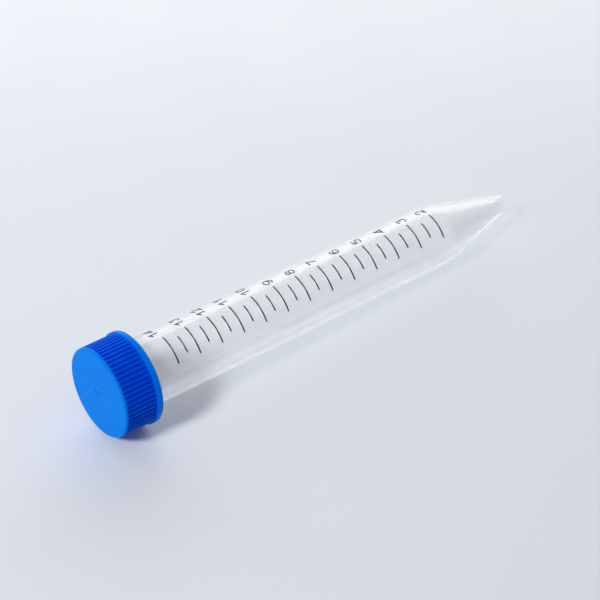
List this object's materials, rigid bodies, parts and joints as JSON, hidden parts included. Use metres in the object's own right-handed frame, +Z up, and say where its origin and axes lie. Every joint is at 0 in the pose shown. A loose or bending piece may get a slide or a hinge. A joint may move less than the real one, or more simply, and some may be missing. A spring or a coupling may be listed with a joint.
{
  "type": "conical centrifuge tube",
  "caption": "Clear plastic conical tube for small liquid samples, with a printed volume scale and a ribbed blue screw cap.",
  "frame": {"origin": "on the surface that the tube lies on, under the middle of its length", "axes": "+Z up; +X towards the tip of the cone and -X towards the cap, along the surface; the tube lies at rest on the cap's flange and its own shoulder, so its axis falls 2.43 degrees towards the tip; the scale faces up and towards -Y"},
  "size_m": [0.1204, 0.0226, 0.0226],
  "materials": {
    "clear_plastic": "clear, slightly milky moulded polypropylene, smooth",
    "cap_plastic": "opaque blue moulded polyethylene, satin",
    "seal_rubber": "soft translucent white silicone",
    "scale_ink": "black screen-printed ink"
  },
  "bodies": {
    "tube": {"tube_body": "clear_plastic", "major_graduations": "scale_ink", "minor_graduations": "scale_ink", "numerals": "scale_ink"},
    "seal": {"seal_ring": "seal_rubber"},
    "cap": {"screw_cap": "cap_plastic"}
  },
  "joints": [
    {"name": "cap_rise", "type": "slide", "parent": "tube", "child": "seal", "axis": [-0.9991, 0, 0.0424], "range_m": [0, 0.0096]},
    {"name": "cap_turn", "type": "hinge", "parent": "seal", "child": "cap", "pos_m": [-0.05834, 0, 0.01165], "axis": [-0.9991, 0, 0.0424], "range_deg": [0, 1080]}
  ],
  "couplings": [
    {"joint": "cap_rise", "follows": "cap_turn", "m_per_rad": 0.0005093}
  ]
}
